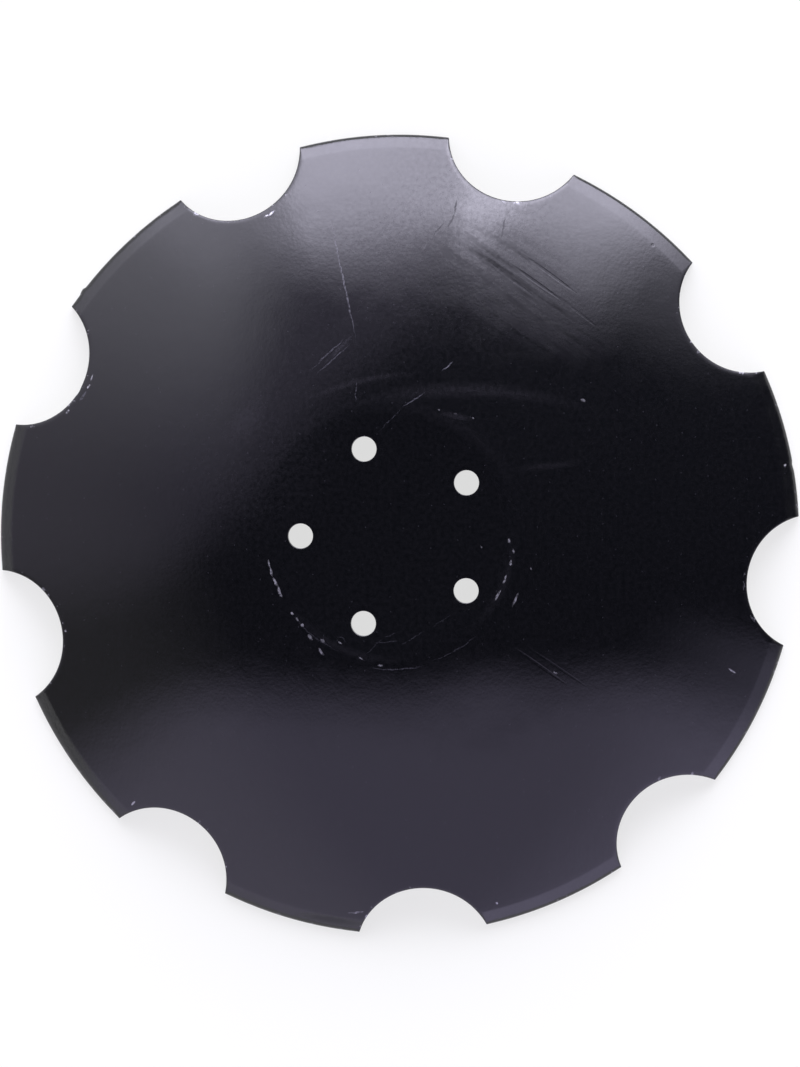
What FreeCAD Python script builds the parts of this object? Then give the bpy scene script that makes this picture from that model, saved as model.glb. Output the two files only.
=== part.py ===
"""Notched harrow disc blade, pressed from one round of spring steel plate.

The blade lies dome up, as it comes to rest on a floor. Millimetres, +Z up.
The origin is the centre of the rim plane, on the axis of the blade, so the
points of the teeth stand on z = 0. A bolt hole lies on the -X side.
"""

import FreeCAD, Part
import math
import os

# Plate and dish
BLADE_RADIUS = 280.0  # axis to the outer edge of the teeth
PLATE_THICKNESS = 6.0
DISH_DEPTH = 70.0  # rim plane up to the hollow side of the flat seat

# Flat seat for the hub at the centre
SEAT_RADIUS = 85.0  # where the flat would meet the dish without its blend
SEAT_BLEND_RADIUS = 60.0  # hollow side of the bend round the seat

# Cutting edge, turned on the outside of the dome
BEVEL_WIDTH = 10.0  # seen along the axis
EDGE_LAND = 4.2  # blunt upright edge left under the bevel
NOSE_RADIUS = 4.5  # rounding between the bevel and the land

# Notches in the rim, punched along the axis one after the other
NOTCH_RADIUS = 48.1
NOTCH_DEPTH = 36.0  # from the outer edge to the deepest point, give or take its difference
NOTCH_START_ANGLE = -86.4  # from +X to the middle of the first notch punched
NOTCH_DIFFERENCES = (  # how many degrees further on and millimetres deeper each notch came out
    (0.3, -1.9),
    (-0.2, -2.0),
    (0.0, -0.7),
    (0.0, -0.5),
    (-0.1, 0.4),
    (0.2, 1.0),
    (1.1, 1.3),
    (1.2, 1.8),
    (1.5, 0.4),
)
NOTCH_COUNT = len(NOTCH_DIFFERENCES)
NOTCH_EDGE_BREAK = 0.8  # edge that the punch rolled over, on the dome side

# Bolt holes in the seat
BOLT_COUNT = 5
BOLT_CIRCLE_RADIUS = 62.5
BOLT_HOLE_RADIUS = 8.5
BOLT_START_ANGLE = 36.0  # from +X to the first hole
BOLT_HOLE_EDGE_BREAK = 0.6

FULL_TURN = 360.0
CLEARANCE = 5.0  # how far a cutting tool runs past the plate
SAME_SIZE = 1e-6
UP = FreeCAD.Vector(0, 0, 1)
AXIS_POINT = FreeCAD.Vector(0, 0, 0)


def section_point(radius, height):
    """A point of the blade's section, in the XZ plane."""
    return FreeCAD.Vector(radius, 0, height)


def line(start, end):
    """A straight edge of the section."""
    return Part.LineSegment(start, end).toShape()


def arc(start, middle, end):
    """A round edge of the section."""
    return Part.Arc(start, middle, end).toShape()


class DishCurve:
    """One face of the plate in section: a flat, a bend and a round of the dish sphere.

    Both faces share the sphere centre and the bend centre, so the plate is
    equally thick all the way. Offset is the distance outwards from the
    hollow face.
    """

    def __init__(self, offset):
        chord_terms = SEAT_RADIUS**2 + DISH_DEPTH**2 - BLADE_RADIUS**2
        self.centre_height = chord_terms / (2 * DISH_DEPTH)
        hollow_radius = math.hypot(BLADE_RADIUS, self.centre_height)
        self.sphere_radius = hollow_radius + offset
        self.bend_radius = SEAT_BLEND_RADIUS + offset
        self.seat_height = DISH_DEPTH + offset
        bend_centre_height = DISH_DEPTH - SEAT_BLEND_RADIUS
        rise = bend_centre_height - self.centre_height
        reach = hollow_radius - SEAT_BLEND_RADIUS
        self.bend_centre_radius = math.sqrt(reach**2 - rise**2)
        self.bend_centre_height = bend_centre_height
        self.bend_angle = math.atan2(self.bend_centre_radius, rise)

    def height(self, radius):
        """Height of the dish sphere at a radius from the axis."""
        return self.centre_height + math.sqrt(self.sphere_radius**2 - radius**2)

    def on_sphere(self, radius):
        """The section point of the dish at a radius from the axis."""
        return section_point(radius, self.height(radius))

    def on_bend(self, share):
        """A section point of the bend, from 0 at the flat to 1 at the dish."""
        angle = self.bend_angle * share
        radius = self.bend_centre_radius + self.bend_radius * math.sin(angle)
        return section_point(radius, self.bend_centre_height + self.bend_radius * math.cos(angle))

    def edges(self, outer_radius):
        """The flat, the bend and the dish out to a radius, from the axis outwards."""
        dish_start = self.on_bend(1)
        halfway = self.on_sphere((dish_start.x + outer_radius) / 2)
        return [
            line(section_point(0, self.seat_height), self.on_bend(0)),
            arc(self.on_bend(0), self.on_bend(0.5), dish_start),
            arc(dish_start, halfway, self.on_sphere(outer_radius)),
        ]


def edge_section(dome):
    """The bevel, its rounded nose and the upright land, from the dome down to the rim plane."""
    bevel_top = dome.on_sphere(BLADE_RADIUS - BEVEL_WIDTH)
    corner = section_point(BLADE_RADIUS, EDGE_LAND)
    bevel_direction = (bevel_top - corner).normalize()
    half_corner = bevel_direction.getAngle(-UP) / 2
    tangent_length = NOSE_RADIUS / math.tan(half_corner)
    bevel_end = corner + bevel_direction * tangent_length
    land_start = corner - UP * tangent_length
    inward = (bevel_direction - UP).normalize()
    nose_reach = NOSE_RADIUS / math.sin(half_corner) - NOSE_RADIUS
    return [
        line(bevel_top, bevel_end),
        arc(bevel_end, corner + inward * nose_reach, land_start),
        line(land_start, section_point(BLADE_RADIUS, 0)),
    ]


def dished_plate():
    """The whole round plate: its section turned about the axis, starting in the middle of a tooth."""
    hollow = DishCurve(0)
    dome = DishCurve(PLATE_THICKNESS)
    outline = dome.edges(BLADE_RADIUS - BEVEL_WIDTH)
    outline += edge_section(dome)
    outline += hollow.edges(BLADE_RADIUS)
    outline.append(line(section_point(0, hollow.seat_height), section_point(0, dome.seat_height)))
    profile = Part.Face(Part.Wire(Part.__sortEdges__(outline)))
    half_pitch = FULL_TURN / NOTCH_COUNT / 2
    profile.rotate(AXIS_POINT, UP, NOTCH_START_ANGLE + half_pitch)
    return profile.revolve(AXIS_POINT, UP, FULL_TURN)


def around_axis(tool, count, start_angle):
    """Copies of a tool made on the +X side, evenly spaced round the axis."""
    copies = []
    for step in range(count):
        copy = tool.copy()
        copy.rotate(AXIS_POINT, UP, start_angle + step * FULL_TURN / count)
        copies.append(copy)
    return copies


def notch_tools():
    """Upright round punches whose inner sides are the notches, each in the place it was punched."""
    height = DISH_DEPTH + PLATE_THICKNESS + 2 * CLEARANCE
    pitch = FULL_TURN / NOTCH_COUNT
    punches = []
    for step, (further_on, deeper) in enumerate(NOTCH_DIFFERENCES):
        centre_radius = BLADE_RADIUS - NOTCH_DEPTH - deeper + NOTCH_RADIUS
        punch = Part.makeCylinder(NOTCH_RADIUS, height, section_point(centre_radius, -CLEARANCE))
        punch.rotate(AXIS_POINT, UP, NOTCH_START_ANGLE + step * pitch + further_on)
        punches.append(punch)
    return punches


def rolled_edges(blade):
    """The edges where a notch wall meets the dome inside the bevel."""
    dome_radius = DishCurve(PLATE_THICKNESS).sphere_radius
    found = []
    for edge in blade.Edges:
        surfaces = [face.Surface for face in blade.ancestorsOfType(edge, Part.Face)]
        on_dome = any(is_round(surface, Part.Sphere, dome_radius) for surface in surfaces)
        on_notch = any(is_round(surface, Part.Cylinder, NOTCH_RADIUS) for surface in surfaces)
        if on_dome and on_notch:
            found.append(edge)
    return found


def is_round(surface, kind, radius):
    """Whether a face's surface is of that kind and has that radius."""
    return isinstance(surface, kind) and math.isclose(surface.Radius, radius, abs_tol=SAME_SIZE)


def bolt_hole_tools():
    """Drills through the flat seat, with a broken edge on both faces."""
    top = DISH_DEPTH + PLATE_THICKNESS
    mouth_radius = BOLT_HOLE_RADIUS + BOLT_HOLE_EDGE_BREAK
    outline = [
        section_point(0, DISH_DEPTH - CLEARANCE),
        section_point(mouth_radius, DISH_DEPTH - CLEARANCE),
        section_point(mouth_radius, DISH_DEPTH),
        section_point(BOLT_HOLE_RADIUS, DISH_DEPTH + BOLT_HOLE_EDGE_BREAK),
        section_point(BOLT_HOLE_RADIUS, top - BOLT_HOLE_EDGE_BREAK),
        section_point(mouth_radius, top),
        section_point(mouth_radius, top + CLEARANCE),
        section_point(0, top + CLEARANCE),
        section_point(0, DISH_DEPTH - CLEARANCE),
    ]
    drill = Part.Face(Part.makePolygon(outline)).revolve(AXIS_POINT, UP, FULL_TURN)
    drill.translate(section_point(BOLT_CIRCLE_RADIUS, 0))
    return around_axis(drill, BOLT_COUNT, BOLT_START_ANGLE)


def main():
    """Builds the blade and writes its STEP file."""
    blade = dished_plate()
    blade = blade.cut(notch_tools()).Solids[0]
    blade = blade.makeChamfer(NOTCH_EDGE_BREAK, rolled_edges(blade))
    blade = blade.cut(bolt_hole_tools())
    os.makedirs("parts", exist_ok=True)
    blade.exportStep("parts/disc_blade.step")


main()
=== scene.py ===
"""Notched harrow disc blade in worn black enamel, lying dome up on a pale floor.

Sizes in the classes are millimetres, and Blender's are metres, in the frame of
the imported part: origin at the centre of the rim plane, +Z out of the dome.
"""

import logging
import math
from dataclasses import dataclass, field
from enum import Enum
from functools import cached_property, reduce
from typing import Iterable, Sequence

import bmesh
import bpy
from mathutils import Matrix, Vector, noise
from mathutils.geometry import delaunay_2d_cdt


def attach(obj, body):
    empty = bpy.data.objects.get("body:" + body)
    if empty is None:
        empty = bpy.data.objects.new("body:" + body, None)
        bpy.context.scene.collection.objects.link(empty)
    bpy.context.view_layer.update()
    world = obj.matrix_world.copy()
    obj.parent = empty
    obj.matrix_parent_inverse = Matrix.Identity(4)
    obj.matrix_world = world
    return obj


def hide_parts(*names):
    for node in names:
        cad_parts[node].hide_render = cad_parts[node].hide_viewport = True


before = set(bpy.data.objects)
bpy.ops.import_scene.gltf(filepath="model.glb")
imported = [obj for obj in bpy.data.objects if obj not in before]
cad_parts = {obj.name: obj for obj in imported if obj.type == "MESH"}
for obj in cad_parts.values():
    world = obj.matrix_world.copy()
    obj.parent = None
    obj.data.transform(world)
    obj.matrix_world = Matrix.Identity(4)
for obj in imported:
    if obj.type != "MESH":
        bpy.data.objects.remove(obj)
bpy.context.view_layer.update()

NODE = "disc_blade"
MM = 0.001
LOG = logging.getLogger("harrow_disc_blade")

Point = tuple[float, float, float]
Place = tuple[float, float]
Span = tuple[float, float]
Border = tuple[float, float]
Shade = tuple[float, float, float, float]
Ring = list[bmesh.types.BMVert]
Socket = bpy.types.NodeSocket

FULL_TURN = 360.0
ROW_HEIGHT = math.sqrt(0.75)  # of a row of triangles with sides of 1
SAME_PLACE = 1e-4  # millimetres
WELD = 1e-7  # metres
EDGE_WEAR = "edge_wear"
WHITE = (1.0, 1.0, 1.0, 1.0)
LEAST_AHEAD = 0.001  # keeps a slope finite where a direction runs level with a pane
PLAIN_RESULTS = ("DOT_PRODUCT", "DISTANCE", "LENGTH")  # vector operations that give one number


def colour(hex_code: str) -> Shade:
    """Turns an sRGB hex colour to the linear one that a shader takes.

    Args:
        hex_code: six hex digits, red first.

    Returns:
        Linear red, green and blue, and an alpha of 1.
    """
    channels = [int(hex_code[i : i + 2], 16) / 255 for i in (0, 2, 4)]
    linear = [c / 12.92 if c <= 0.04045 else ((c + 0.055) / 1.055) ** 2.4 for c in channels]
    return (*linear, 1.0)


def polar(radius: float, angle: float) -> Place:
    """The place at a radius and an angle from +X, in radians."""
    return radius * math.cos(angle), radius * math.sin(angle)


def mixed(start: float, end: float, share: float) -> float:
    """The number that lies a share of the way from start to end."""
    return start + (end - start) * share


def steps(start: float, end: float, count: int) -> list[float]:
    """Count numbers after start, evenly spaced, the last of them end."""
    return [mixed(start, end, i / count) for i in range(1, count + 1)]


def bent(
    start: Sequence[float], corner: Sequence[float], end: Sequence[float], count: int
) -> list[list[float]]:
    """Rounds a corner of a section.

    Args:
        start: the point where the rounding begins.
        corner: the sharp corner.
        end: the point where the rounding ends.
        count: how many steps to take.

    Returns:
        The points after start, the last of them end.
    """
    found = []
    for t in steps(0.0, 1.0, count):
        weights = ((1 - t) ** 2, 2 * t * (1 - t), t * t)
        found.append([sum(w * v for w, v in zip(weights, parts)) for parts in zip(start, corner, end)])
    return found


@dataclass(frozen=True)
class PlateSection:
    """The plate's section: the heights of the dome face and of the hollow face over the radius."""

    rim_radius: float = 280.0
    thickness: float = 6.0
    dish_depth: float = 70.0
    seat_radius: float = 85.0
    bend_radius: float = 60.0
    bevel_width: float = 10.0
    land: float = 4.2
    crease: float = 0.7

    @cached_property
    def centre_height(self) -> float:
        """Height of the centre of the dish sphere."""
        chord = self.seat_radius**2 + self.dish_depth**2 - self.rim_radius**2
        return chord / (2 * self.dish_depth)

    @cached_property
    def hollow_sphere(self) -> float:
        """Radius of the hollow face of the dish."""
        return math.hypot(self.rim_radius, self.centre_height)

    @cached_property
    def flat_radius(self) -> float:
        """Radius of the flat seat, up to where its bend begins."""
        reach = self.hollow_sphere - self.bend_radius
        return math.sqrt(reach**2 - (self.dish_depth - self.bend_radius - self.centre_height) ** 2)

    @cached_property
    def bevel_start(self) -> float:
        """Radius where the bevel meets the dome."""
        return self.rim_radius - self.bevel_width

    def pressed(self, radius: float, offset: float) -> float:
        """Height of the flat, the bend or the dish sphere.

        Args:
            radius: distance from the axis.
            offset: distance outwards from the hollow face.

        Returns:
            The height over the rim plane.
        """
        if radius <= self.flat_radius:
            return self.dish_depth + offset
        sphere, bend = self.hollow_sphere + offset, self.bend_radius + offset
        bend_share = self.flat_radius / (self.hollow_sphere - self.bend_radius)
        if radius < self.flat_radius + bend * bend_share:
            return self.dish_depth - self.bend_radius + math.sqrt(bend**2 - (radius - self.flat_radius) ** 2)
        return self.centre_height + math.sqrt(sphere**2 - radius**2)

    def hollow(self, radius: float) -> float:
        """Height of the hollow face at a radius, or 0 where paint hangs over the rim."""
        return max(0.0, self.pressed(radius, 0.0))

    def dome(self, radius: float) -> float:
        """Height of the dome face at a radius, with the bevel and its softened crease."""
        if radius <= self.bevel_start - self.crease:
            return self.pressed(radius, self.thickness)
        top = self.pressed(self.bevel_start, self.thickness)
        fall = (self.land - top) / self.bevel_width
        if radius >= self.bevel_start + self.crease:
            return top + fall * (radius - self.bevel_start)
        share = (radius - self.bevel_start + self.crease) / (2 * self.crease)
        before = self.pressed(self.bevel_start - self.crease, self.thickness)
        after = top + fall * self.crease
        return (1 - share) ** 2 * before + 2 * share * (1 - share) * top + share**2 * after


@dataclass(frozen=True)
class EdgePoint:
    """One point of the blade's outline seen from above, with the rounding of its upper edge.

    The rounding begins its roll inside the outline and ends its drop below the upper face.
    """

    place: Place
    outward: Place
    roll: float
    drop: float

    def turned(self, angle: float) -> "EdgePoint":
        """The same point turned about the axis by an angle in radians."""
        c, s = math.cos(angle), math.sin(angle)
        (x, y), (u, v) = self.place, self.outward
        return EdgePoint((x * c - y * s, x * s + y * c), (u * c - v * s, u * s + v * c), self.roll, self.drop)

    def mirrored(self) -> "EdgePoint":
        """The same point on the other side of the +X axis."""
        (x, y), (u, v) = self.place, self.outward
        return EdgePoint((x, -y), (u, -v), self.roll, self.drop)

    def inset(self, distance: float) -> Place:
        """The place that lies a distance inside the outline."""
        return self.place[0] - self.outward[0] * distance, self.place[1] - self.outward[1] * distance


@dataclass(frozen=True)
class EdgeFlaw:
    """A nick (depth over 0) or a run of paint (under 0) on the outline."""

    place: Place
    reach: float
    depth: float

    def moved(self, point: EdgePoint) -> EdgePoint:
        """The outline point as this flaw leaves it."""
        near = 1 - (math.dist(point.place, self.place) / self.reach) ** 2
        if near <= 0:
            return point
        return EdgePoint(point.inset(self.depth * near**2), point.outward, point.roll, point.drop)


EDGE_FLAWS = (
    EdgeFlaw((-221.3, 169.9), 3.6, -1.5),
    EdgeFlaw((-224, 160.5), 3.0, -0.6),
    EdgeFlaw((276, 50), 4.0, 0.6),
    EdgeFlaw((-232.5, 83), 4.0, 0.5),
    EdgeFlaw((-222, 99), 5.0, 0.4),
)


@dataclass(frozen=True)
class Notch:
    """One punched notch: the angle of its middle from +X in degrees, and its depth from the rim."""

    middle: float
    depth: float


NOTCHES = (
    Notch(-86.1, 34.1),
    Notch(-46.6, 34.0),
    Notch(-6.4, 35.3),
    Notch(33.6, 35.5),
    Notch(73.5, 36.4),
    Notch(113.8, 37.0),
    Notch(154.7, 37.3),
    Notch(194.8, 37.8),
    Notch(235.1, 36.4),
)


@dataclass(frozen=True)
class NotchedOutline:
    """The rim seen from above: nine punched notches between the teeth.

    Its upper edge is rolled widely where the notches are punched through the
    dome, sharp across the bevel, and a blunt nose along the teeth.
    """

    section: PlateSection
    notches: tuple[Notch, ...] = NOTCHES
    notch_radius: float = 48.1
    tip_radius: float = 0.7
    punched_roll: float = 3.0
    punched_drop: float = 0.75
    bevel_roll: float = 0.5
    tip_roll: float = 0.65
    nose_roll: float = 2.0
    nose_drop: float = 2.4
    nose_taper: float = 4.0
    notch_steps: int = 44
    cheek_steps: int = 5
    tip_steps: int = 4
    tooth_steps: int = 46
    flaws: tuple[EdgeFlaw, ...] = EDGE_FLAWS

    def punch_centre(self, notch: Notch) -> float:
        """Distance of a notch's centre from the axis."""
        return self.section.rim_radius - notch.depth + self.notch_radius

    def swing_at(self, radius: float, reach: float, centre: float) -> float:
        """Angle about a notch's centre where a circle round it crosses a radius of the blade.

        Args:
            radius: distance from the blade's axis.
            reach: radius of the circle round the notch's centre.
            centre: distance of the notch's centre from the axis.

        Returns:
            The angle in radians, from the line to the axis.
        """
        return math.acos((centre**2 + reach**2 - radius**2) / (2 * centre * reach))

    def half_notch(self, notch: Notch) -> list[EdgePoint]:
        """Lays out the upper half of a notch.

        Args:
            notch: the notch, taken as if its middle lay on +X.

        Returns:
            Outline points from its deepest point to the end of its upper tooth tip.
        """
        centre = self.punch_centre(notch)
        tip_reach, tip_orbit = self.notch_radius + self.tip_radius, self.section.rim_radius - self.tip_radius
        bevel_swing = self.swing_at(self.section.bevel_start, self.notch_radius + self.punched_roll, centre)
        tip_swing = self.swing_at(tip_orbit, tip_reach, centre)
        tip = (centre - tip_reach * math.cos(tip_swing), tip_reach * math.sin(tip_swing))
        swings = [(swing, 0.0) for swing in (0.0, *steps(0.0, bevel_swing, self.notch_steps // 2))]
        swings += [(mixed(bevel_swing, tip_swing, t), t) for t in steps(0.0, 1.0, self.cheek_steps)]
        found = []
        for swing, t in swings:
            outward = (math.cos(swing), -math.sin(swing))
            place = (centre - self.notch_radius * outward[0], -self.notch_radius * outward[1])
            roll = mixed(self.punched_roll, self.bevel_roll, t)
            drop = mixed(self.punched_drop, self.bevel_roll, t)
            found.append(EdgePoint(place, outward, roll, drop))
        tooth_side = math.atan2(tip[1], tip[0])
        for t in steps(0.0, 1.0, self.tip_steps):
            outward = polar(1.0, mixed(-tip_swing, tooth_side, t))
            place = (tip[0] + self.tip_radius * outward[0], tip[1] + self.tip_radius * outward[1])
            roll = mixed(self.bevel_roll, self.tip_roll, t)
            drop = mixed(self.bevel_roll, self.nose_drop, t)
            found.append(EdgePoint(place, outward, roll, drop))
        return found

    def spans(self) -> list[tuple[float, float, list[EdgePoint]]]:
        """The outline in spans, each from the deepest point of a notch to that of the next.

        Returns:
            The angle of each span's first notch, that of its next, and its points without the last.
        """
        found = []
        for notch, other in zip(self.notches, [*self.notches[1:], self.notches[0]]):
            start = math.radians(notch.middle)
            following = math.radians(other.middle + (FULL_TURN if other is self.notches[0] else 0.0))
            halves = [self.half_notch(each) for each in (notch, other)]
            sides = [math.atan2(half[-1].place[1], half[-1].place[0]) for half in halves]
            points = [point.turned(start) for point in halves[0]]
            tips = (start + sides[0], following - sides[1])
            for angle in steps(*tips, self.tooth_steps)[:-1]:
                place, outward = polar(self.section.rim_radius, angle), polar(1.0, angle)
                along = self.section.rim_radius * min(angle - tips[0], tips[1] - angle)
                roll = mixed(self.tip_roll, self.nose_roll, min(1.0, along / self.nose_taper))
                points.append(EdgePoint(place, outward, roll, self.nose_drop))
            points += [point.mirrored().turned(following) for point in reversed(halves[1])]
            for flaw in self.flaws:
                points = [flaw.moved(point) for point in points]
            found.append((start, following, points[:-1]))
        return found


@dataclass(frozen=True)
class Column:
    """One line of the skin, which fans out from the inner ring to a point of the outline."""

    start_radius: float
    start_angle: float
    edge: EdgePoint

    def at_radius(self, radius: float, end: Place) -> Place:
        """The place on this line at a radius, or its end if the end is nearer the axis.

        Args:
            radius: distance from the axis.
            end: where the line ends.

        Returns:
            The place seen from above.
        """
        end_radius, end_angle = math.hypot(*end), math.atan2(end[1], end[0])
        turns = round((self.start_angle - end_angle) / math.tau)
        share = min(1.0, (radius - self.start_radius) / (end_radius - self.start_radius))
        angle = mixed(self.start_angle, end_angle + turns * math.tau, share)
        return polar(mixed(self.start_radius, end_radius, share), angle)


class SkinWeaver:
    """Joins closed rings of points into one skin, halving or doubling the count from ring to ring."""

    def __init__(self) -> None:
        """Starts with no ring."""
        self.mesh = bmesh.new()
        self.wear = self.mesh.verts.layers.float.new(EDGE_WEAR)
        self.last: Ring = []

    def vertices(self, points: Iterable[Point], wear: float = 0.0) -> Ring:
        """Adds loose vertices.

        Args:
            points: places in millimetres.
            wear: how near to a worn edge they lie, from 0 to 1.

        Returns:
            The new vertices in order.
        """
        made = [self.mesh.verts.new(Vector(point) * MM) for point in points]
        for vertex in made:
            vertex[self.wear] = wear
        return made

    def start(self, ring: Ring) -> None:
        """Takes a ring as the one that the next is joined to."""
        self.last = ring

    def ring(self, points: Iterable[Point], wear: float = 0.0) -> None:
        """Adds a ring and joins it to the last one.

        Args:
            points: places in millimetres, anticlockwise from above.
            wear: how near to a worn edge they lie, from 0 to 1.
        """
        made = self.vertices(points, wear)
        self.join(self.last, made)
        self.last = made

    def join(self, inner: Ring, outer: Ring) -> None:
        """Fills the band between two rings.

        Args:
            inner: the ring that comes first.
            outer: the ring after it, with as many vertices, half as many or twice as many.
        """
        count = min(len(inner), len(outer))
        a_step, b_step = len(inner) // count, len(outer) // count
        for i in range(count):
            a = [inner[(i * a_step + j) % len(inner)] for j in range(a_step + 1)]
            b = [outer[(i * b_step + j) % len(outer)] for j in range(b_step + 1)]
            if a_step == b_step:
                self.mesh.faces.new((a[0], b[0], b[1], a[1]))
                continue
            self.mesh.faces.new((a[0], b[0], a[1] if a_step == 2 else b[1]))
            self.mesh.faces.new((a[1], b[0], b[1]) if a_step == 2 else (a[0], b[1], a[1]))
            self.mesh.faces.new((a[1], b[1], a[2]) if a_step == 2 else (a[1], b[1], b[2]))


@dataclass(frozen=True)
class Swell:
    """A gentle swell that the press left in the plate: its middle, its spread and its height."""

    place: Place
    spread: float
    height: float

    def at(self, place: Place) -> float:
        """The height it adds at a place."""
        return self.height * math.exp(-0.5 * (math.dist(place, self.place) / self.spread) ** 2)


PRESS_SWELLS = (
    Swell((45, 212), 25, 1.0),
    Swell((-34, 219), 28, -0.35),
    Swell((62, -123), 24, -0.99),
)


@dataclass
class DiscBlade:
    """The blade itself: one skin from the seat over the dome, round the rim and back under the hollow."""

    section: PlateSection
    outline: NotchedOutline
    inner_radius: float = 222.0
    halving_radius: float = 150.0
    seat_every: int = 4
    middle_every: int = 2
    dome_bend: float = 11.0
    dome_bend_rows: int = 6
    dome_step: float = 4.0
    fan_rows: int = 13
    crease_rows: int = 3
    bevel_rows: int = 4
    roll_rows: int = 5
    hollow_rows: int = 7
    hollow_step: float = 8.0
    hollow_bend: float = 10.0
    hollow_bend_rows: int = 4
    swells: tuple[Swell, ...] = PRESS_SWELLS
    ripple_height: float = 0.05
    ripple_length: float = 95.0
    seat_fade: float = 0.25
    rim_fade: float = 0.15
    seat_grid: float = 4.2
    bolt_count: int = 5
    bolt_circle: float = 62.5
    bolt_radius: float = 8.5
    bolt_mouth: float = 0.6
    bolt_start: float = 36.0
    bolt_steps: int = 48
    bolt_rows: int = 3
    bolt_wear: float = 0.5
    smooth_angle: float = 32.0
    columns: list[Column] = field(default_factory=list)

    def ripple(self, place: Place) -> float:
        """How far the pressing left the plate off its true sphere at a place.

        Args:
            place: seen from above.

        Returns:
            The height to add, which fades out at the seat and at the rim.
        """
        radius = math.hypot(*place)
        seat, rim = self.section.flat_radius, self.section.bevel_start
        rise = min(1.0, max(0.0, (radius - seat) / (self.seat_fade * rim)))
        fall = min(1.0, max(0.0, (rim - radius) / (self.rim_fade * rim)))
        wave = self.ripple_height * noise.noise(Vector((*place, 0.0)) / self.ripple_length)
        return (wave + sum(swell.at(place) for swell in self.swells)) * rise * fall

    def on_dome(self, place: Place) -> Point:
        """The point of the dome face over a place."""
        return place[0], place[1], self.section.dome(math.hypot(*place)) + self.ripple(place)

    def on_hollow(self, place: Place) -> Point:
        """The point of the hollow face over a place."""
        return place[0], place[1], self.section.hollow(math.hypot(*place)) + self.ripple(place)

    def lay_columns(self) -> None:
        """Shares the inner ring out among the outline's points by their distance along the outline."""
        for start, following, points in self.outline.spans():
            places = [point.place for point in points]
            closing = polar(math.hypot(*places[0]), following)
            lengths = [math.dist(a, b) for a, b in zip(places, [*places[1:], closing])]
            gone = 0.0
            for point, length in zip(points, lengths):
                angle = mixed(start, following, gone / sum(lengths))
                self.columns.append(Column(self.inner_radius, angle, point))
                gone += length

    def circle(self, radius: float, every: int) -> list[Place]:
        """Places round the axis at the angles of every so many columns."""
        return [polar(radius, column.start_angle) for column in self.columns[::every]]

    def row(self, ends: list[Place], near: float, far: float, share: float) -> list[Place]:
        """A row of places across the fan, one on each column.

        Args:
            ends: where each column ends.
            near: radius where the row's band begins.
            far: radius where it ends, or where the column does if that comes first.
            share: how far across the band the row lies.

        Returns:
            The places in order.
        """
        places = []
        for column, end in zip(self.columns, ends):
            reach = math.hypot(*end)
            places.append(column.at_radius(mixed(min(near, reach), min(far, reach), share), end))
        return places

    def weave_face(self, weaver: SkinWeaver) -> None:
        """Weaves the dome face from the seat's bend out to where the edge begins to roll."""
        bend_end = self.section.flat_radius + self.dome_bend
        middle_rows = round((self.halving_radius - bend_end) / self.dome_step)
        outer_rows = round((self.inner_radius - self.halving_radius) / self.dome_step)
        for start, end, rows, every in (
            (self.section.flat_radius, bend_end, self.dome_bend_rows, self.seat_every),
            (bend_end, self.halving_radius, middle_rows, self.middle_every),
            (self.halving_radius, self.inner_radius, outer_rows, 1),
        ):
            for radius in steps(start, end, rows):
                weaver.ring(map(self.on_dome, self.circle(radius, every)))
        crease_in = self.section.bevel_start - self.section.crease
        crease_out = self.section.bevel_start + self.section.crease
        rolls = [column.edge.inset(column.edge.roll) for column in self.columns]
        for t in steps(0.0, 1.0, self.fan_rows):
            weaver.ring(map(self.on_dome, self.row(rolls, self.inner_radius, crease_in, t)))
        for radius in steps(crease_in, crease_out, self.crease_rows):
            places = (column.at_radius(radius, end) for column, end in zip(self.columns, rolls))
            weaver.ring(map(self.on_dome, places))
        for t in steps(0.0, 1.0, self.bevel_rows):
            weaver.ring(map(self.on_dome, self.row(rolls, crease_out, math.inf, t)))

    def weave_edge(self, weaver: SkinWeaver) -> None:
        """Rolls the skin over the edge and down the punched wall or the blunt land."""
        sections = []
        for column in self.columns:
            edge = column.edge
            corner = self.section.dome(math.hypot(*edge.place))
            start = (edge.roll, self.on_dome(edge.inset(edge.roll))[2])
            sections.append((edge, bent(start, (0.0, corner), (0.0, corner - edge.drop), self.roll_rows)))
        for row in range(self.roll_rows):
            wear = (row + 1) / self.roll_rows
            weaver.ring(((*edge.inset(bend[row][0]), bend[row][1]) for edge, bend in sections), wear)
        weaver.ring((self.on_hollow(column.edge.place) for column in self.columns), 1.0)

    def weave_hollow(self, weaver: SkinWeaver) -> None:
        """Weaves the hollow face back in to the seat."""
        ends = [column.edge.place for column in self.columns]
        for t in steps(1.0, 0.0, self.hollow_rows):
            weaver.ring(map(self.on_hollow, self.row(ends, self.inner_radius, math.inf, t)))
        bend_end = self.section.flat_radius + self.hollow_bend
        rows = round((self.inner_radius - bend_end) / self.hollow_step)
        for radius in steps(self.inner_radius, bend_end, rows):
            weaver.ring(map(self.on_hollow, self.circle(radius, self.middle_every)))
        for radius in steps(bend_end, self.section.flat_radius, self.hollow_bend_rows):
            weaver.ring(map(self.on_hollow, self.circle(radius, self.seat_every)))

    def bolt_places(self) -> list[Place]:
        """Centres of the bolt holes."""
        angles = [self.bolt_start + FULL_TURN / self.bolt_count * i for i in range(self.bolt_count)]
        return [polar(self.bolt_circle, math.radians(angle)) for angle in angles]

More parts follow.
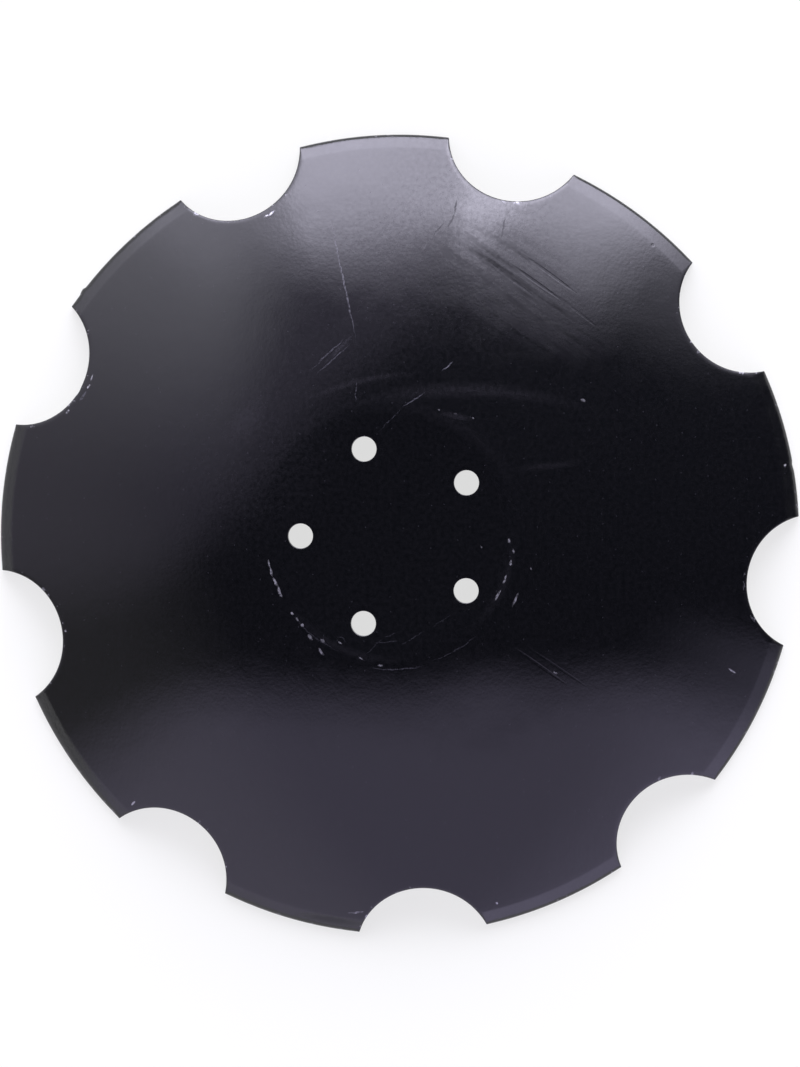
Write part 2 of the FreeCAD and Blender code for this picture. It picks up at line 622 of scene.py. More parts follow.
    def seat_net(self, rim: list[Place]) -> tuple[list[Place], list[tuple[int, ...]], int]:
        """A net of triangles over the flat seat, open at the bolt holes.

        Args:
            rim: the seat's outer ring.

        Returns:
            Its places, its triangles, and how many places come before the first hole's mouth.
        """
        mouth = self.bolt_radius + self.bolt_mouth
        holes = self.bolt_places()
        places = list(rim)
        edges = [(i, (i + 1) % len(rim)) for i in range(len(rim))]
        for centre in holes:
            first = len(places)
            for i in range(self.bolt_steps):
                x, y = polar(mouth, math.tau * i / self.bolt_steps)
                places.append((centre[0] + x, centre[1] + y))
                edges.append((first + i, first + (i + 1) % self.bolt_steps))
        rows = math.ceil(self.section.flat_radius / (self.seat_grid * ROW_HEIGHT))
        gap = self.seat_grid / 2
        for row in range(-rows, rows + 1):
            for column in range(-rows, rows + 1):
                place = (self.seat_grid * (column + row % 2 / 2), self.seat_grid * ROW_HEIGHT * row)
                clear = all(math.dist(place, centre) > mouth + gap for centre in holes)
                if clear and math.hypot(*place) < self.section.flat_radius - gap:
                    places.append(place)
        net = delaunay_2d_cdt([Vector(place) for place in places], edges, [], 1, SAME_PLACE)
        triangles = []
        for triangle in net[2]:
            owners = {(i - len(rim)) // self.bolt_steps for i in triangle}
            if len(owners) > 1 or not owners <= set(range(self.bolt_count)):
                triangles.append(tuple(triangle))
        return [(v[0], v[1]) for v in net[0]], triangles, len(rim)

    def weave_seat(self, weaver: SkinWeaver, top: Ring, bottom: Ring) -> None:
        """Closes the seat on both faces and lines its bolt holes.

        Args:
            weaver: holds the skin.
            top: the ring where the dome's bend meets the flat.
            bottom: the same ring on the hollow face.
        """
        places, triangles, first_mouth = self.seat_net(self.circle(self.section.flat_radius, self.seat_every))
        heights = (self.section.dish_depth + self.section.thickness, self.section.dish_depth)
        faces = []
        for ring, height in zip((top, bottom), heights):
            added = weaver.vertices((*place, height) for place in places[first_mouth:])
            corners = [*ring, *added]
            faces.append(corners)
            for triangle in triangles:
                weaver.mesh.faces.new([corners[i] for i in triangle])
        for index, centre in enumerate(self.bolt_places()):
            first = first_mouth + index * self.bolt_steps
            mouths = [corners[first : first + self.bolt_steps] for corners in faces]
            self.weave_bore(weaver, centre, *mouths)

    def weave_bore(self, weaver: SkinWeaver, centre: Place, top: Ring, bottom: Ring) -> None:
        """Lines one bolt hole, with both of its edges broken.

        Args:
            weaver: holds the skin.
            centre: the hole's centre.
            top: the ring of its mouth on the dome face.
            bottom: the ring of its mouth on the hollow face.
        """
        high, low = self.section.dish_depth + self.section.thickness, self.section.dish_depth
        mouth, bore = self.bolt_radius + self.bolt_mouth, self.bolt_radius
        upper = bent((mouth, high), (bore, high), (bore, high - self.bolt_mouth), self.bolt_rows)
        lower = bent((bore, low + self.bolt_mouth), (bore, low), (mouth, low), self.bolt_rows)[:-1]
        weaver.start(top)
        for radius, height in [*upper, (bore, low + self.bolt_mouth), *lower]:
            angles = [math.tau * i / self.bolt_steps for i in range(self.bolt_steps)]
            around = [polar(radius, angle) for angle in angles]
            weaver.ring(((centre[0] + x, centre[1] + y, height) for x, y in around), self.bolt_wear)
        weaver.join(weaver.last, bottom)

    def build(self, finish: "BlackEnamel") -> bpy.types.Object:
        """Weaves the whole blade and dresses it.

        Args:
            finish: the enamel and its wear.

        Returns:
            The blade's object, in metres in the part's frame.
        """
        self.lay_columns()
        weaver = SkinWeaver()
        top = weaver.vertices(map(self.on_dome, self.circle(self.section.flat_radius, self.seat_every)))
        weaver.start(top)
        self.weave_face(weaver)
        self.weave_edge(weaver)
        self.weave_hollow(weaver)
        self.weave_seat(weaver, top, weaver.last)
        bmesh.ops.remove_doubles(weaver.mesh, verts=weaver.mesh.verts[:], dist=WELD)
        bmesh.ops.recalc_face_normals(weaver.mesh, faces=weaver.mesh.faces[:])
        mesh = bpy.data.meshes.new("notched_blade")
        weaver.mesh.to_mesh(mesh)
        weaver.mesh.free()
        mesh.shade_smooth()
        mesh.set_sharp_from_angle(angle=math.radians(self.smooth_angle))
        blade = bpy.data.objects.new("notched_blade", mesh)
        bpy.context.scene.collection.objects.link(blade)
        mesh.materials.append(finish.material())
        return blade


class ShaderDesk:
    """A node tree being wired."""

    def __init__(self, tree: bpy.types.NodeTree) -> None:
        """Empties the tree."""
        self.tree = tree
        tree.nodes.clear()

    def add(self, kind: str, inputs: dict, out: str | int = 0, **settings: object) -> Socket:
        """Adds a node with its settings and links.

        Args:
            kind: Blender's name of the node type, without its leading "ShaderNode".
            inputs: a value, or an output to link, by the input's name or number.
            out: name or number of the output to return.
            settings: the node's own properties. A pattern runs in the plane of the blade unless told else.

        Returns:
            The chosen output, or the first input of a node that has none.
        """
        node = self.tree.nodes.new(f"ShaderNode{kind}")
        if kind in ("TexNoise", "TexVoronoi"):
            settings.setdefault(f"{kind[3:].lower()}_dimensions", "2D")
        for name, value in settings.items():
            setattr(node, name, value)
        for key, value in inputs.items():
            if isinstance(value, Socket):
                self.tree.links.new(value, node.inputs[key])
            else:
                node.inputs[key].default_value = value
        return node.outputs[out] if node.outputs else node.inputs[0]

    def math(self, operation: str, *values: Socket | float) -> Socket:
        """Adds an operation on plain numbers."""
        return self.add("Math", dict(enumerate(values)), operation=operation)

    def vector(self, operation: str, *values: Socket | Point) -> Socket:
        """Adds an operation on vectors."""
        out = "Value" if operation in PLAIN_RESULTS else "Vector"
        return self.add("VectorMath", dict(enumerate(values)), out, operation=operation)

    def scaled(self, value: Socket | Point, share: Socket | float) -> Socket:
        """Adds a vector's product with a number."""
        return self.add("VectorMath", {0: value, "Scale": share}, operation="SCALE")

    def ramp(self, value: Socket, start: float, end: float, low: float = 0.0, high: float = 1.0) -> Socket:
        """Adds a straight rise from low at start to high at end."""
        return self.add("MapRange", {0: value, 1: start, 2: end, 3: low, 4: high})

    def fade(self, value: Socket, start: float, end: float, high: float = 1.0) -> Socket:
        """Adds a soft rise from 0 at start to high at end."""
        return self.add("MapRange", {0: value, 1: start, 2: end, 4: high}, interpolation_type="SMOOTHSTEP")

    def blend(self, share: Socket, base: Socket | Shade, over: Shade) -> Socket:
        """Adds a mix of two colours by the second one's share."""
        return self.add("Mix", {0: share, 6: base, 7: over}, 2, data_type="RGBA")

    def noise(self, place: Socket, length: float, detail: float = 1.0, **settings: str) -> Socket:
        """Adds a noise pattern with waves about as long as given."""
        return self.add("TexNoise", {"Vector": place, "Scale": 1 / length, "Detail": detail}, **settings)


class Wear(Enum):
    """What a mark has done to the enamel."""

    BARE = "knocked off down to the steel"
    SCORED = "scored, so that broken film shows pale"
    # Also painted shade: dark matt marks beside a chip and on the lowest bevel, where only shade lies
    DULLED_AND_PAINTED_SHADE = "rubbed or dirty, and matt"
    GROOVED = "pressed in by a hard edge, with the film unbroken"
    # Also a painted highlight: pale arcs along the bend of the seat
    HAZE_AND_PAINTED_HIGHLIGHT = "under a smear of pale dust"


@dataclass(frozen=True)
class Mark:
    """A lens-shaped mark on the blade, as seen from above, with its full strength within its core."""

    start: Place
    end: Place
    width: float
    strength: float = 1.0
    core: float = 0.45

    def mask(self, desk: ShaderDesk, place: Socket) -> Socket:
        """Wires where the mark lies.

        Args:
            desk: the enamel's node tree.
            place: the place in millimetres, without its height.

        Returns:
            From 0 off the mark to its strength in its core.
        """
        middle = (Vector(self.start) + Vector(self.end)) / 2
        along = Vector(self.end) - Vector(self.start)
        axes = along * (2 / along.length_squared), along.orthogonal() * (2 / along.length / self.width)
        sides = (desk.vector("DOT_PRODUCT", place, (*axis, 0.0)) for axis in axes)
        local = desk.add("CombineXYZ", dict(enumerate(sides)))
        centre = (*(middle.dot(axis) for axis in axes), 0.0)
        return desk.fade(desk.vector("DISTANCE", local, centre), 1.0, self.core, self.strength)


@dataclass(frozen=True)
class CurvedMark:
    """A mark along a part of a circle, as seen from above. Its middle and half span are degrees."""

    centre: Place
    radius: float
    middle: float
    half_span: float
    width: float
    strength: float = 1.0
    core: float = 0.45

    def mask(self, desk: ShaderDesk, place: Socket) -> Socket:
        """Wires where the mark lies.

        Args:
            desk: the enamel's node tree.
            place: the place in millimetres, without its height.

        Returns:
            From 0 off the mark to its strength in its core.
        """
        turn = math.radians(self.middle)
        axes = (math.cos(turn), math.sin(turn), 0.0), (-math.sin(turn), math.cos(turn), 0.0)
        out = desk.vector("SUBTRACT", place, (*self.centre, 0.0))
        reach = desk.vector("LENGTH", out)
        off = desk.math("MULTIPLY_ADD", reach, 2 / self.width, -2 * self.radius / self.width)
        ahead, aside = (desk.vector("DOT_PRODUCT", out, axis) for axis in axes)
        turned = desk.math("ARCTAN2", aside, ahead)
        along = desk.math("DIVIDE", turned, math.radians(self.half_span))
        local = desk.add("CombineXYZ", {0: along, 1: off})
        return desk.fade(desk.vector("LENGTH", local), 1.0, self.core, self.strength)


HANDLING_MARKS: dict[Wear, tuple[Mark | CurvedMark, ...]] = {
    Wear.SCORED: (
        # One long scratch, a pair and a few short ones on the dome over the seat
        Mark((-46.2, 222.5), (-24.5, 129), 1.5, 0.42),
        Mark((-31.5, 137), (-58.5, 111.5), 1.3, 0.32),
        Mark((-28.5, 132), (-54, 109), 1.2, 0.3),
        Mark((-27, 138.5), (-49, 116), 3.4, 0.1),
        Mark((41, 120), (33, 112.5), 1.2, 0.6),
        Mark((-24.5, 107), (-25.5, 91), 0.9, 0.36),
        Mark((23, 99), (6, 87.5), 1.1, 0.42),
        Mark((7, 88), (-11, 69.5), 0.9, 0.2),
        # Arcs and lines that a hub's flange drew round the seat
        CurvedMark((-0.5, -0.5), 90.2, -88, 14, 1.0, 0.3),
        CurvedMark((-0.5, -0.5), 88.6, -60, 14, 0.9, 0.16),
        CurvedMark((0, 0), 86.5, -128, 16, 1.2, 0.12),
        Mark((5, -74.5), (24, -63.5), 0.9, 0.16),
        Mark((26, -62.5), (42.5, -52), 0.9, 0.1),
        Mark((-18.5, -81.5), (-5, -68.5), 0.9, 0.16),
        Mark((-6, -69.2), (3.5, -65.5), 0.9, 0.16),
        Mark((-14, -73), (8, -71), 0.9, 0.14),
        CurvedMark((-36, -74), 5, 60, 50, 1.0, 0.16),
        CurvedMark((-52, -66), 6, -40, 45, 1.0, 0.16),
        # Beside a chip at the upper left
        Mark((-215.6, 99.8), (-221.4, 91.8), 2.6, 0.35),
    ),
    Wear.GROOVED: (
        # In the sheen, and over towards the right
        Mark((78, 188), (116, 161), 2.6, 0.9),
        Mark((84, 196.5), (127, 165.5), 2.6, 0.8),
        Mark((62, 190), (98, 163), 2.4, 0.4),
        Mark((118, 160), (140, 143), 2.2, 0.4),
        Mark((176, 203), (178.6, 201), 3.0),
        # A pair under the seat, towards the right
        Mark((80, -73), (122, -103), 2.6, 0.6),
        Mark((88, -72), (138, -106), 2.0, 0.35),
    ),
    Wear.DULLED_AND_PAINTED_SHADE: (
        # Lines scraped matt in the sheen
        Mark((41.5, 234), (40.3, 220), 1.8, 0.9),
        Mark((41, 224), (35, 210), 1.8, 0.9),
        Mark((34.5, 218), (23, 203), 1.8, 0.9),
        Mark((25, 205.5), (17, 194.5), 1.5, 0.5),
        Mark((75.5, 223), (71.8, 201), 1.9, 0.7),
        # Painted shadow beside a chip at the top: a dark matt line on its notch side
        Mark((-93, 217.6), (-82, 224.6), 1.6, 0.8),
        # Painted shade on the bevel by the lowest tooth tips: a dark matt patch that stands in for the
        # reflected shadow where the blade meets the floor
        Mark((-76, -265), (-14, -274), 8.5, 0.9, 0.2),
    ),
    Wear.BARE: (
        # Ring that a hub's flange rubbed, in separate flecks
        Mark((-84.7, -15.5), (-83, -22.5), 1.3, 0.7),
        Mark((-83.2, -21.5), (-81.2, -28), 1.7, 0.9),
        Mark((-81.2, -27.5), (-78.2, -35), 2.1, 0.9),
        Mark((-78.4, -34), (-75, -42), 2.1, 0.9),
        Mark((-68.8, -51.6), (-67.2, -54.2), 2.2),
        Mark((-65.8, -55.2), (-63.8, -58.2), 1.6, 0.7),
        Mark((-61.8, -59.6), (-60, -62.2), 2.0, 0.9),
        Mark((-57, -67), (-54, -71.5), 2.8, 0.4),
        Mark((-48.2, -69.5), (-45.8, -73), 2.2, 0.4),
        Mark((-50.5, -76), (-46, -81.5), 2.0, 0.5),
        Mark((-36.5, -72), (-33.5, -73.5), 1.4, 0.35),
        Mark((-23, -82.2), (-19.5, -83.6), 1.4, 0.5),
        Mark((-9.5, -87.3), (-5.5, -88.4), 1.4, 0.5),
        Mark((79.7, -1), (80, -4.5), 1.6, 0.5),
        Mark((82.2, -7.5), (82.6, -11.5), 1.6, 0.5),
        Mark((81.3, -15.5), (80.1, -19.5), 2.0, 0.9),
        Mark((77.8, -25.5), (75.8, -32), 1.7, 0.9),
        Mark((74.6, -35.5), (69.8, -43.5), 1.7, 0.7),
        Mark((86.2, -37.5), (81.8, -48), 1.8, 0.8),
        Mark((94, -20.5), (94.7, -23), 1.3, 0.4),
        Mark((59.8, -5.5), (60.9, -7.8), 1.2, 0.4),
        # Specks
        Mark((30, 87), (32.5, 86.2), 1.3, 0.2),
        Mark((42, 83.8), (44, 83), 1.3, 0.15),
        Mark((54, 81.2), (56, 80.6), 1.3, 0.2),
        Mark((127.8, 94.5), (130.8, 92), 2.4, 0.3),
        Mark((110, -92), (113, -94), 1.6, 0.35),
        Mark((230, -91), (236, -94.3), 1.4, 0.7),
        Mark((69.9, -255.4), (71.7, -257), 1.8, 0.7),
        Mark((268.6, 49.6), (270.8, 50.1), 2.0),
        # Chips along the inner border of the notches' rolled edges
        Mark((-93.2, 219.9), (-84, 225.2), 1.5, 0.7),
        Mark((-211.2, 111.4), (-213.2, 106.4), 1.5, 0.6),
        Mark((-213, 104.4), (-215.6, 100.6), 1.6, 0.9),
        Mark((-231.2, 83.6), (-227.8, 86.4), 2.2, 0.9),
        Mark((-230.2, -66.2), (-229.6, -68.8), 1.8, 0.9),
        Mark((-185.6, -190.4), (-182.6, -186.6), 1.8, 0.8),
        Mark((79.5, 230.8), (83.9, 230), 1.6, 0.5),
        Mark((-34, -264.5), (-21.2, -262.9), 1.4, 0.8),
    ),
    Wear.HAZE_AND_PAINTED_HIGHLIGHT: (
        # Painted highlight: pale arcs along the bend of the seat, standing in for the window's reflection
        # there
        CurvedMark((49, -189), 289, 90, 20, 15, 0.17, 0.05),
        CurvedMark((49, -189), 288.5, 88, 15, 5.0, 0.2, 0.1),
        CurvedMark((22, -80), 191, 104, 15, 6, 0.2, 0.1),
        # Pale dust smears round the hub's ring
        CurvedMark((0, 0), 88, 62, 60, 14, 0.05, 0.05),
        CurvedMark((-2, -1), 84, -22, 34, 9, 0.08, 0.1),
        CurvedMark((0, 0), 84, -112, 40, 9, 0.1, 0.1),
        # Short smears on the dome over the seat
        Mark((28, 85), (58, 79), 6, 0.25, 0.05),
        Mark((74, 45), (136, 51.5), 7, 0.12, 0.05),
        Mark((-118, 62), (-84, 96), 26, 0.2, 0.05),
    ),
}


@dataclass(frozen=True)
class DustyArea:
    """A round area of the blade where dust hides more of the gloss, by a share at most."""

    middle: Place
    reach: float
    share: float


DUSTY_AREAS = (
    DustyArea((50, 206), 105, 0.24),
    DustyArea((-40, 165), 95, 0.14),
    DustyArea((-110, 70), 90, 0.16),
)


@dataclass(frozen=True)
class BlackEnamel:
    """Black enamel dipped over pressed spring steel, with the scuffs of handling.

    The eye sees a deep black with a violet cast, glossy enough to mirror the
    room as soft fields, over the faint orange peel of a thick coat. Matt
    scratches read pale where the enamel is dark and dark where it shines, and
    a few flecks along the hub's ring and the notches are bare grey steel.
    """

    film: str = "08090b"
    # Pale dust, also the colour of the painted highlight along the seat's bend
    dust: str = "38373b"
    broken_film: str = "606068"
    # Grime's colour, also used for painted shade beside a chip and on the lowest bevel
    dirt_and_painted_shade: str = "141416"
    steel: str = "b9b9bd"
    ior: float = 1.5
    roughness: float = 0.125
    roughness_swing: float = 0.02
    worn_roughness: float = 0.6
    steel_roughness: float = 0.5
    dust_roughness: float = 0.5
    streak_roughness: float = 0.1
    streak_haze: float = 0.58
    streak_middle: Place = (87.0, 170.0)
    streak_angle: float = -34.0
    streak_half_length: float = 84.0
    streak_half_width: float = 40.0
    streak_length: float = 85.0
    streak_width: float = 5.0
    streak_span: Span = (0.34, 0.68)
    streak_core: float = 0.3
    groove_depth: float = 0.07
    peel_length: float = 2.4
    peel_height: float = 0.027
    mottle_length: float = 13.0
    mottle_height: float = 0.05
    mottle_span: Span = (0.3, 0.7)
    shake_length: float = 5.0
    shake_reach: float = 1.6
    grit_length: float = 1.8
    grit_span: Span = (0.36, 0.56)
    grit_floor: float = 0.15
    chip_length: float = 4.5
    chip_span: Span = (0.64, 0.68)
    edge_rub: float = 0.5
    speck_spacing: float = 9.0
    speck_radius: float = 0.6
    speck_core: float = 0.3
    speck_gap: float = 0.66
    speck_strength: float = 0.16
    dust_length: float = 3.0
    dust_share: float = 0.09
    dust_span: Span = (0.2, 0.8)
    dust_core: float = 0.25
    smear_span: Span = (0.3, 0.7)
    smear_swing: Span = (0.7, 1.2)
    dusty_areas: tuple[DustyArea, ...] = DUSTY_AREAS
    marks: dict[Wear, tuple[Mark | CurvedMark, ...]] = field(default_factory=lambda: HANDLING_MARKS)

    def gathered(self, desk: ShaderDesk, wear: Wear, place: Socket) -> Socket:
        """Wires all marks of one kind together.

        Args:
            desk: the enamel's node tree.
            wear: the kind of mark.
            place: the place in millimetres, without its height.

        Returns:
            The strongest of the marks at the place.
        """
        masks = (mark.mask(desk, place) for mark in self.marks[wear])
        return reduce(lambda one, other: desk.math("MAXIMUM", one, other), masks)

    def specks(self, desk: ShaderDesk, place: Socket) -> Socket:
        """Wires grains of pale dust, strewn over a third of the cells of a loose net.

        Args:
            desk: the enamel's node tree.
            place: the place in millimetres.

        Returns:
            Up to 1 on a grain.
        """
        cell = {"Vector": place, "Scale": 1 / self.speck_spacing, "Randomness": 1.0}
        net = desk.add("TexVoronoi", cell, "Distance")
        size = self.speck_radius / self.speck_spacing
        grain = desk.fade(net, size, size * self.speck_core)
        chance = desk.add("SeparateColor", {0: net.node.outputs["Color"]})
        return desk.math("MULTIPLY", grain, desk.ramp(chance, self.speck_gap, 1.0))

    def haze_and_painted_highlight(self, desk: ShaderDesk, place: Socket, streaks: Socket) -> Socket:
        """Wires how much of the gloss dust, smears and the painted highlight along the seat's bend hide.

        Args:
            desk: the enamel's node tree.
            place: the place in millimetres, without its height.
            streaks: where the film is wiped rough.

        Returns:
            The share of the film that pale dust and the painted highlight cover.
        """
        grains = {"Vector": place, "Scale": 1 / self.dust_length, "Detail": 2.0, "Roughness": 0.6}
        patches = desk.add("TexNoise", grains)
        share: Socket | float = self.dust_share
        for area in self.dusty_areas:
            away = desk.vector("DISTANCE", place, (*area.middle, 0.0))
            more = desk.fade(away, area.reach, area.reach * self.dust_core, area.share)
            share = desk.math("ADD", more, share)
        dusty = desk.math("MULTIPLY", desk.ramp(patches, *self.dust_span), share)
        worn = desk.ramp(patches, *self.smear_span, *self.smear_swing)
        smeared_and_painted_highlight = desk.math("MULTIPLY_ADD", self.gathered(desk, Wear.HAZE_AND_PAINTED_HIGHLIGHT, place), worn, dusty)
        return desk.math("MULTIPLY_ADD", streaks, self.streak_haze, smeared_and_painted_highlight)

    def streaks(self, desk: ShaderDesk, place: Socket) -> Socket:
        """Wires the fine parallel wipe marks beside the scraped lines.

        Args:
            desk: the enamel's node tree.
            place: the place in millimetres, without its height.

        Returns:
            Up to 1 where the film is wiped rough.
        """
        turn = (0.0, 0.0, math.radians(self.streak_angle))
        lined = {"Vector": place, "Rotation": turn, "Scale": (self.streak_length, self.streak_width, 1.0)}
        along = desk.add("Mapping", lined, vector_type="TEXTURE")
        lines = desk.add("TexNoise", {"Vector": along, "Scale": 1.0, "Detail": 4.0, "Roughness": 0.65})
        area = {
            "Vector": place,
            "Location": (*self.streak_middle, 0.0),
            "Rotation": turn,
            "Scale": (self.streak_half_length, self.streak_half_width, 1.0),
        }
        local = desk.add("Mapping", area, vector_type="TEXTURE")
        inside = desk.fade(desk.vector("LENGTH", local), 1.0, self.streak_core)
        return desk.math("MULTIPLY", desk.ramp(lines, *self.streak_span), inside)

    def worn(self, desk: ShaderDesk, solid: Socket, flat: Socket) -> list[tuple[Socket, str, float]]:
        """Wires where the film is rubbed matt, where painted shade lies beside a chip and on the lowest
        bevel, where it is scored and where it is gone, on its face and along its edges.

        Args:
            desk: the enamel's node tree.
            solid: the place in millimetres.
            flat: the same without its height.

        Returns:
            For each of the three, its share, its colour and its roughness.
        """
        shake = desk.add("TexNoise", {"Vector": flat, "Scale": 1 / self.shake_length, "Detail": 1.0}, "Color")
        shift = desk.vector("SUBTRACT", shake, (0.5, 0.5, 0.5))
        hand = desk.vector("MULTIPLY_ADD", shift, (self.shake_reach, self.shake_reach, 0.0), flat)
        grit = desk.noise(solid, self.grit_length, noise_dimensions="3D")
        broken = desk.ramp(grit, *self.grit_span, self.grit_floor)
        patch = desk.noise(solid, self.chip_length, 2.0, noise_dimensions="3D")
        edge = desk.add("Attribute", {}, "Fac", attribute_name=EDGE_WEAR)
        edge_chip = desk.math("MULTIPLY", desk.ramp(patch, *self.chip_span), edge)
        knocked = desk.math("MAXIMUM", self.gathered(desk, Wear.BARE, hand), edge_chip)
        bare = desk.math("MULTIPLY", knocked, broken)
        specks = desk.math("MULTIPLY", self.specks(desk, flat), self.speck_strength)
        lines = desk.math("MULTIPLY", self.gathered(desk, Wear.SCORED, hand), broken)
        scored = desk.math("MAXIMUM", lines, specks)
        rubbed = desk.math("MULTIPLY", edge, self.edge_rub)
        # Rubbed edges and matt marks, with painted shade beside a chip and on the lowest bevel
        dulled_and_painted_shade = desk.math("MAXIMUM", self.gathered(desk, Wear.DULLED_AND_PAINTED_SHADE, hand), rubbed)
        return [
            (dulled_and_painted_shade, self.dirt_and_painted_shade, self.worn_roughness),
            (scored, self.broken_film, self.worn_roughness),
            (bare, self.steel, self.steel_roughness),
        ]

    def material(self) -> bpy.types.Material:
        """Wires the enamel.

        Returns:
            The material.
        """
        made = bpy.data.materials.new("black_enamel_on_steel")
        made.use_nodes = True
        desk = ShaderDesk(made.node_tree)
        solid = desk.scaled(desk.add("TexCoord", {}, "Object"), 1 / MM)
        flat = desk.vector("MULTIPLY", solid, (1.0, 1.0, 0.0))
        mottle = desk.noise(flat, self.mottle_length)
        swing = (self.roughness - self.roughness_swing, self.roughness + self.roughness_swing)
        streaks = self.streaks(desk, flat)
        plain = desk.ramp(mottle, *self.mottle_span, *swing)
        rough = desk.math("MULTIPLY_ADD", streaks, self.streak_roughness, plain)
        film: Socket | Shade = colour(self.film)
        wears = self.worn(desk, solid, flat)
        for share, shade, roughness in wears:
            film = desk.blend(share, film, colour(shade))
            rough = desk.add("Mix", {0: share, 2: rough, 3: roughness})
        bare = wears[-1][0]
        peel = desk.noise(flat, self.peel_length)
        relief = desk.math("MULTIPLY_ADD", mottle, self.mottle_height / self.peel_height, peel)
        grooves = self.gathered(desk, Wear.GROOVED, flat)
        relief = desk.math("MULTIPLY_ADD", grooves, -self.groove_depth / self.peel_height, relief)
        normal = desk.add("Bump", {"Height": relief, "Strength": 1.0, "Distance": self.peel_height * MM})
        coat = {"Base Color": film, "Metallic": bare, "Roughness": rough, "IOR": self.ior, "Normal": normal}
        enamel = desk.add("BsdfPrincipled", coat)
        pale = desk.blend(streaks, colour(self.dust), colour(self.dirt_and_painted_shade))
        powder_and_painted_highlight = desk.add("BsdfDiffuse", {"Color": pale, "Roughness": self.dust_roughness})
        # Pale dust and streak grime dim the gloss; the pale arcs along the seat's bend are a painted
        # highlight
        covered = desk.add("MixShader", {0: self.haze_and_painted_highlight(desk, flat, streaks), 1: enamel, 2: powder_and_painted_highlight})
        desk.add("OutputMaterial", {"Surface": covered})
        return made


@dataclass(frozen=True)
class Pane:
    """A lit pane of the room round the blade, with soft borders, far out.

    It faces the blade from its azimuth, in degrees from +X towards +Y, and
    hangs askew by some degrees, its right side down. A border is two slopes,
    how far sideways or up for each step out: that of its middle and the half
    width of its fade.
    """

    azimuth: float
    right: Border
    left: Border
    top: Border
    strength: float
    tint: str
    askew: float = 0.0

    def light(self, desk: ShaderDesk, towards: Socket) -> Socket:
        """Wires what the pane sends from a direction.

        Args:
            desk: the world's node tree.
            towards: the direction seen from the blade.

        Returns:
            Its light as a linear colour.
        """
        level, hang = polar(1.0, math.radians(self.azimuth)), polar(1.0, math.radians(self.askew))
        axes = (
            (*level, 0.0),
            (-level[1] * hang[0], level[0] * hang[0], hang[1]),
            (level[1] * hang[1], -level[0] * hang[1], hang[0]),
        )
        facing, *others = (desk.vector("DOT_PRODUCT", towards, axis) for axis in axes)
        ahead = desk.math("MAXIMUM", facing, LEAST_AHEAD)
        side, rise = (desk.math("DIVIDE", one, ahead) for one in others)
        borders = (
            (side, self.right[0] - self.right[1], sum(self.right)),
            (side, sum(self.left), self.left[0] - self.left[1]),
            (rise, sum(self.top), self.top[0] - self.top[1], self.strength),
        )
        share: Socket | float = 1.0
        for border in borders:
            share = desk.math("MULTIPLY", desk.fade(*border), share)
        return desk.scaled(colour(self.tint)[:3], share)


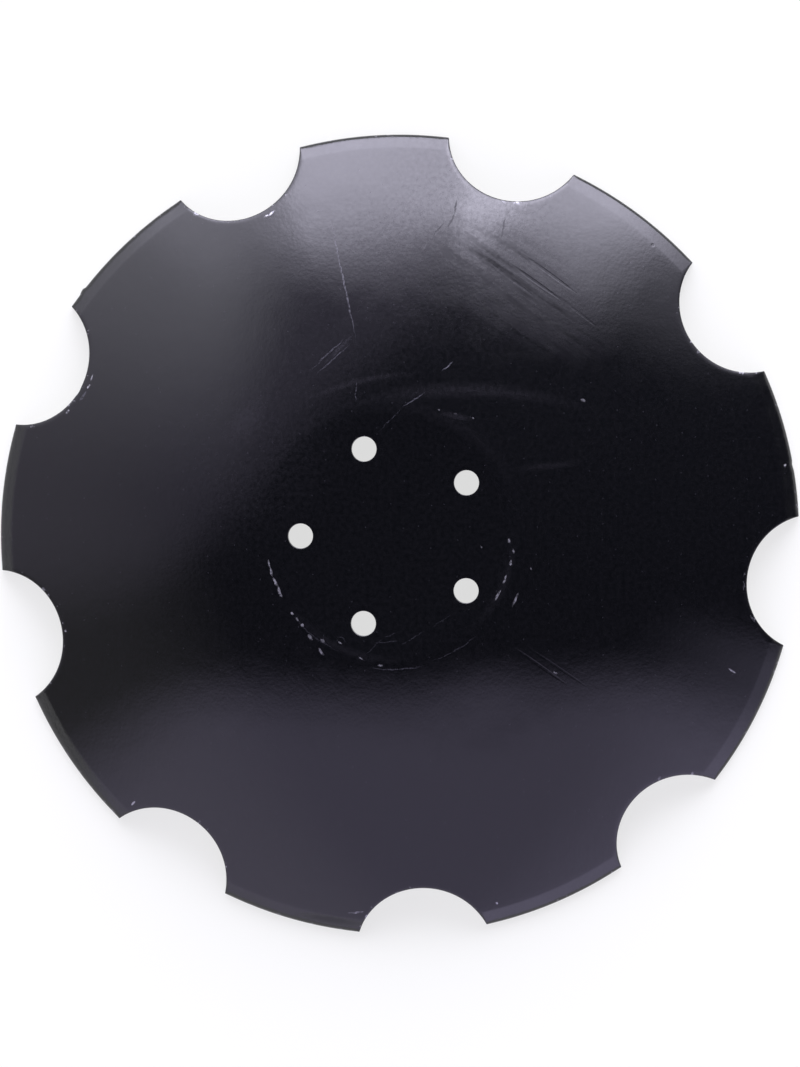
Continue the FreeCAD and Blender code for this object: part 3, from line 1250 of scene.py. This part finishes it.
@dataclass(frozen=True)
class Studio:
    """The floor, the light round the blade and the pale backdrop."""

    floor_radius: float = 60.0
    floor_sides: int = 64
    floor_paint: str = "f0f3e6"
    floor_glow: float = 0.7
    ceiling: str = "1f1f20"
    backdrop_full: float = 0.5
    backdrop_gone: float = 3.5
    panes: tuple[Pane, ...] = (
        # Window, its left part
        Pane(101, (-1.45, 0.6), (0.18, 0.04), (0.87, 0.19), 3.64, "eeebff"),
        # Window, its right part
        Pane(76, (-0.43, 0.19), (0.83, 0.19), (1.07, 0.43), 4.65, "eeebff"),
        # Glow round the window
        Pane(77, (-0.97, 0.41), (1.5, 0.41), (1.02, 0.48), 1.58, "eeebff", 7),
        # Bright strip between the window's parts
        Pane(92, (-0.35, 0.05), (-0.17, 0.05), (1.12, 0.2), 4.9, "eeebff"),
        # Open door at the left
        Pane(168, (-1.29, 0.5), (-0.36, 0.5), (1.47, 0.6), 1.92, "f3f3ff"),
        # Wall at the left
        Pane(137, (-1.2, 0.5), (1.35, 0.5), (2.16, 0.6), 0.5, "e6dcff"),
        # Far end of the same wall
        Pane(198, (-2.05, 0.47), (3.12, 0.47), (1.18, 0.6), 0.27, "fffcfd"),
        # Wall on the near side, at the foot of the picture
        Pane(271, (-1.45, 0.5), (1.58, 0.5), (1.99, 0.58), 1.25, "e1d8ff"),
        # Low wall beside it, towards the right
        Pane(341, (-2.31, 0.06), (0.02, 0.06), (0.7, 0.56), 0.99, "e0d9ff"),
    )

    def light(self) -> None:
        """Wires the world: a dim ceiling and the lit panes, with white low down and for the camera."""
        world = bpy.data.worlds.new("studio")
        bpy.context.scene.world = world
        world.use_nodes = True
        desk = ShaderDesk(world.node_tree)
        towards = desk.add("TexCoord", {}, "Generated")
        total: Socket | tuple = colour(self.ceiling)[:3]
        for pane in self.panes:
            total = desk.vector("ADD", total, pane.light(desk, towards))
        height = desk.add("SeparateXYZ", {0: towards}, 2)
        full, gone = (math.sin(math.radians(angle)) for angle in (self.backdrop_full, self.backdrop_gone))
        path = desk.add("LightPath", {}).node.outputs
        mirrored = desk.math("MAXIMUM", path["Is Glossy Ray"], path["Is Transmission Ray"])
        banded = desk.math("MULTIPLY", mirrored, desk.fade(height, gone, full))
        room = desk.vector("MAXIMUM", total, banded)
        seen = desk.blend(path["Is Camera Ray"], room, WHITE)
        desk.add("OutputWorld", {"Surface": desk.add("Background", {"Color": seen, "Strength": 1.0})})

    def floor(self) -> bpy.types.Object:
        """Lays the floor.

        Returns:
            The floor's object, marked as stage.
        """
        mesh = bpy.data.meshes.new("studio_floor")
        angles = (math.tau * i / self.floor_sides for i in range(self.floor_sides))
        corners = [(*polar(self.floor_radius, angle), 0.0) for angle in angles]
        mesh.from_pydata(corners, [], [tuple(range(self.floor_sides))])
        made = bpy.data.objects.new("studio_floor", mesh)
        bpy.context.scene.collection.objects.link(made)
        # Matt white paint: the eye sees an even white, with a faint soft shadow round the teeth
        paint = bpy.data.materials.new("matt_white_floor_paint")
        paint.use_nodes = True
        desk = ShaderDesk(paint.node_tree)
        path = desk.add("LightPath", {}).node.outputs
        seen = path["Is Camera Ray"]
        for other in ("Is Glossy Ray", "Is Transmission Ray"):
            seen = desk.math("MAXIMUM", seen, path[other])
        share = desk.math("MULTIPLY", seen, self.floor_glow)
        matt = desk.add("BsdfDiffuse", {"Color": colour(self.floor_paint)})
        white = desk.add("Emission", {"Color": WHITE, "Strength": 1.0})
        desk.add("OutputMaterial", {"Surface": desk.add("MixShader", {0: share, 1: matt, 2: white})})
        mesh.materials.append(paint)
        return made


@dataclass(frozen=True)
class PhotoCamera:
    """The camera over the blade, a little towards +X."""

    distance: float = 2600.0
    pitch: float = 0.83
    yaw: float = -3.02
    roll: float = -0.21
    aim: Place = (-1.45, -0.89)
    focal_px: float = 3708.5
    image_height_px: float = 1067.0
    sensor: float = 36.0

    def build(self) -> bpy.types.Object:
        """Sets the camera up.

        Returns:
            The camera's object.
        """
        turn = (
            Matrix.Rotation(math.radians(self.pitch), 3, "X")
            @ Matrix.Rotation(math.radians(self.yaw), 3, "Y")
            @ Matrix.Rotation(math.radians(self.roll), 3, "Z")
        )
        lens = bpy.data.cameras.new("photo_camera")
        lens.sensor_width = self.sensor
        lens.lens = self.focal_px / self.image_height_px * self.sensor
        made = bpy.data.objects.new("photo_camera", lens)
        bpy.context.scene.collection.objects.link(made)
        back = turn.transposed()
        place = back @ Vector((-self.aim[0], -self.aim[1], self.distance)) * MM
        made.matrix_world = Matrix.Translation(place) @ back.to_4x4()
        bpy.context.scene.camera = made
        return made


def main() -> None:
    """Builds the studio, the camera and the blade, and reports each."""
    logging.basicConfig(level=logging.INFO, format="%(name)s: %(message)s")
    bpy.context.scene.view_settings.view_transform = "Standard"
    studio = Studio()
    studio.light()
    LOG.info("floor %s", studio.floor().name)
    LOG.info("camera %s", PhotoCamera().build().name)
    section = PlateSection()
    blade = DiscBlade(section, NotchedOutline(section)).build(BlackEnamel())
    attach(blade, "root")
    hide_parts(NODE)
    LOG.info("blade %s with %d faces", blade.name, len(blade.data.polygons))


if __name__ == "__main__":
    main()
